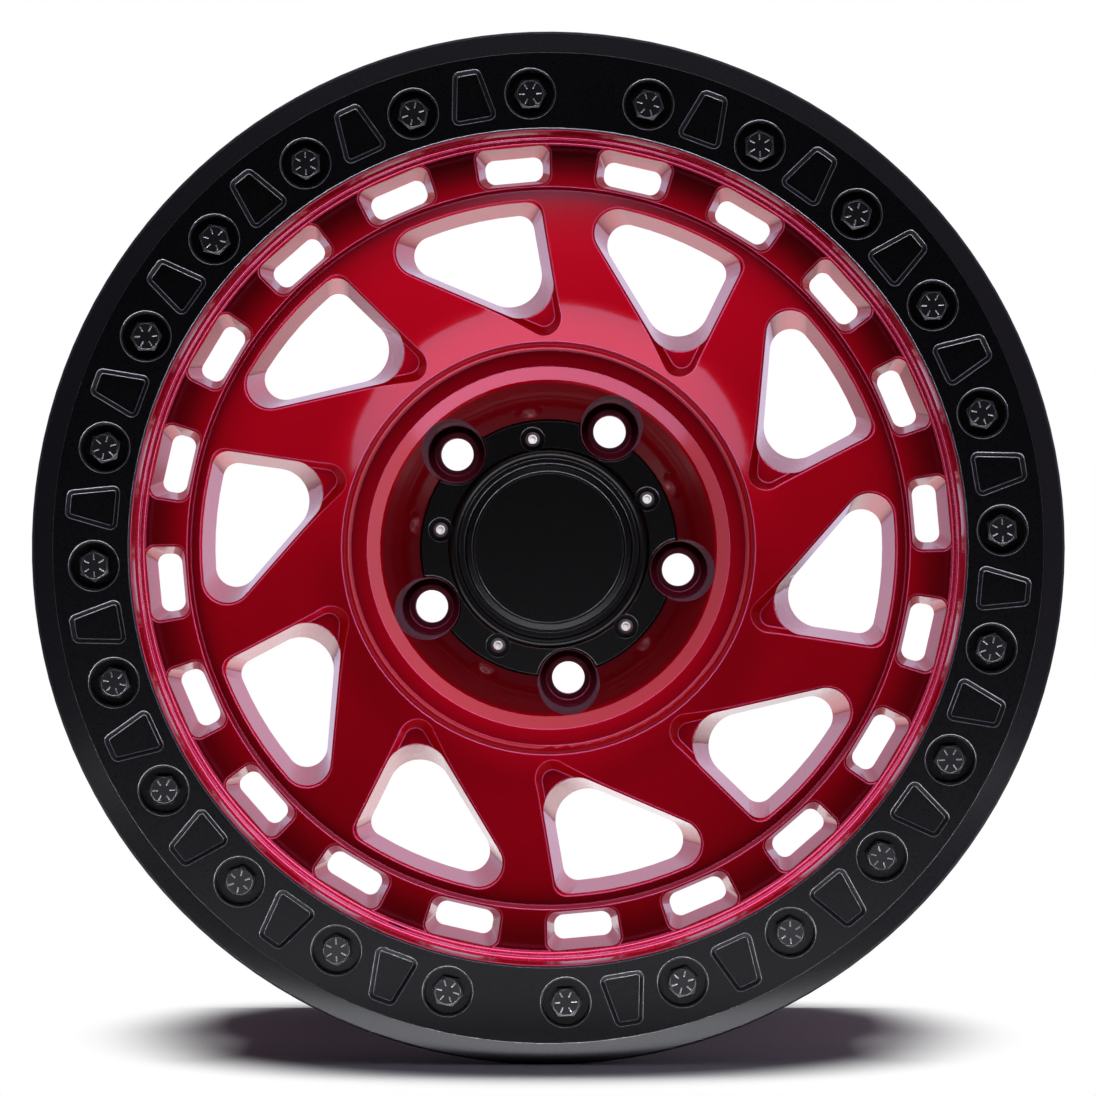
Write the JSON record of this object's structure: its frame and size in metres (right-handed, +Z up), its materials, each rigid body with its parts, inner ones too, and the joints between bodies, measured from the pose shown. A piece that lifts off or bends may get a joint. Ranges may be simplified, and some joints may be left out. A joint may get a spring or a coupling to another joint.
{
  "type": "off-road wheel",
  "caption": "Off-road car wheel: slotted and windowed one-piece casting with a bolted bead clamp ring, lug holes and a screwed centre cap.",
  "frame": {"origin": "on the wheel's axis, in the plane of the hub mounting face, at the centre of the lug circle", "axes": "+Y along the axis towards the vehicle (inboard), front face towards -Y, +Z up, +X to the right seen from the front"},
  "size_m": [0.4719, 0.254, 0.472],
  "materials": {
    "candy_red": "glossy clear coat over candy red",
    "satin_black": "satin black powder coat",
    "black_steel": "black oxide with worn edges",
    "cap_black": "satin black",
    "bright_steel": "bright plated"
  },
  "bodies": {
    "root": {"wheel_casting": "candy_red", "clamp_ring": "satin_black", "ring_bolts": "black_steel", "centre_cap": "cap_black", "cap_screws": "bright_steel"}
  },
  "joints": []
}
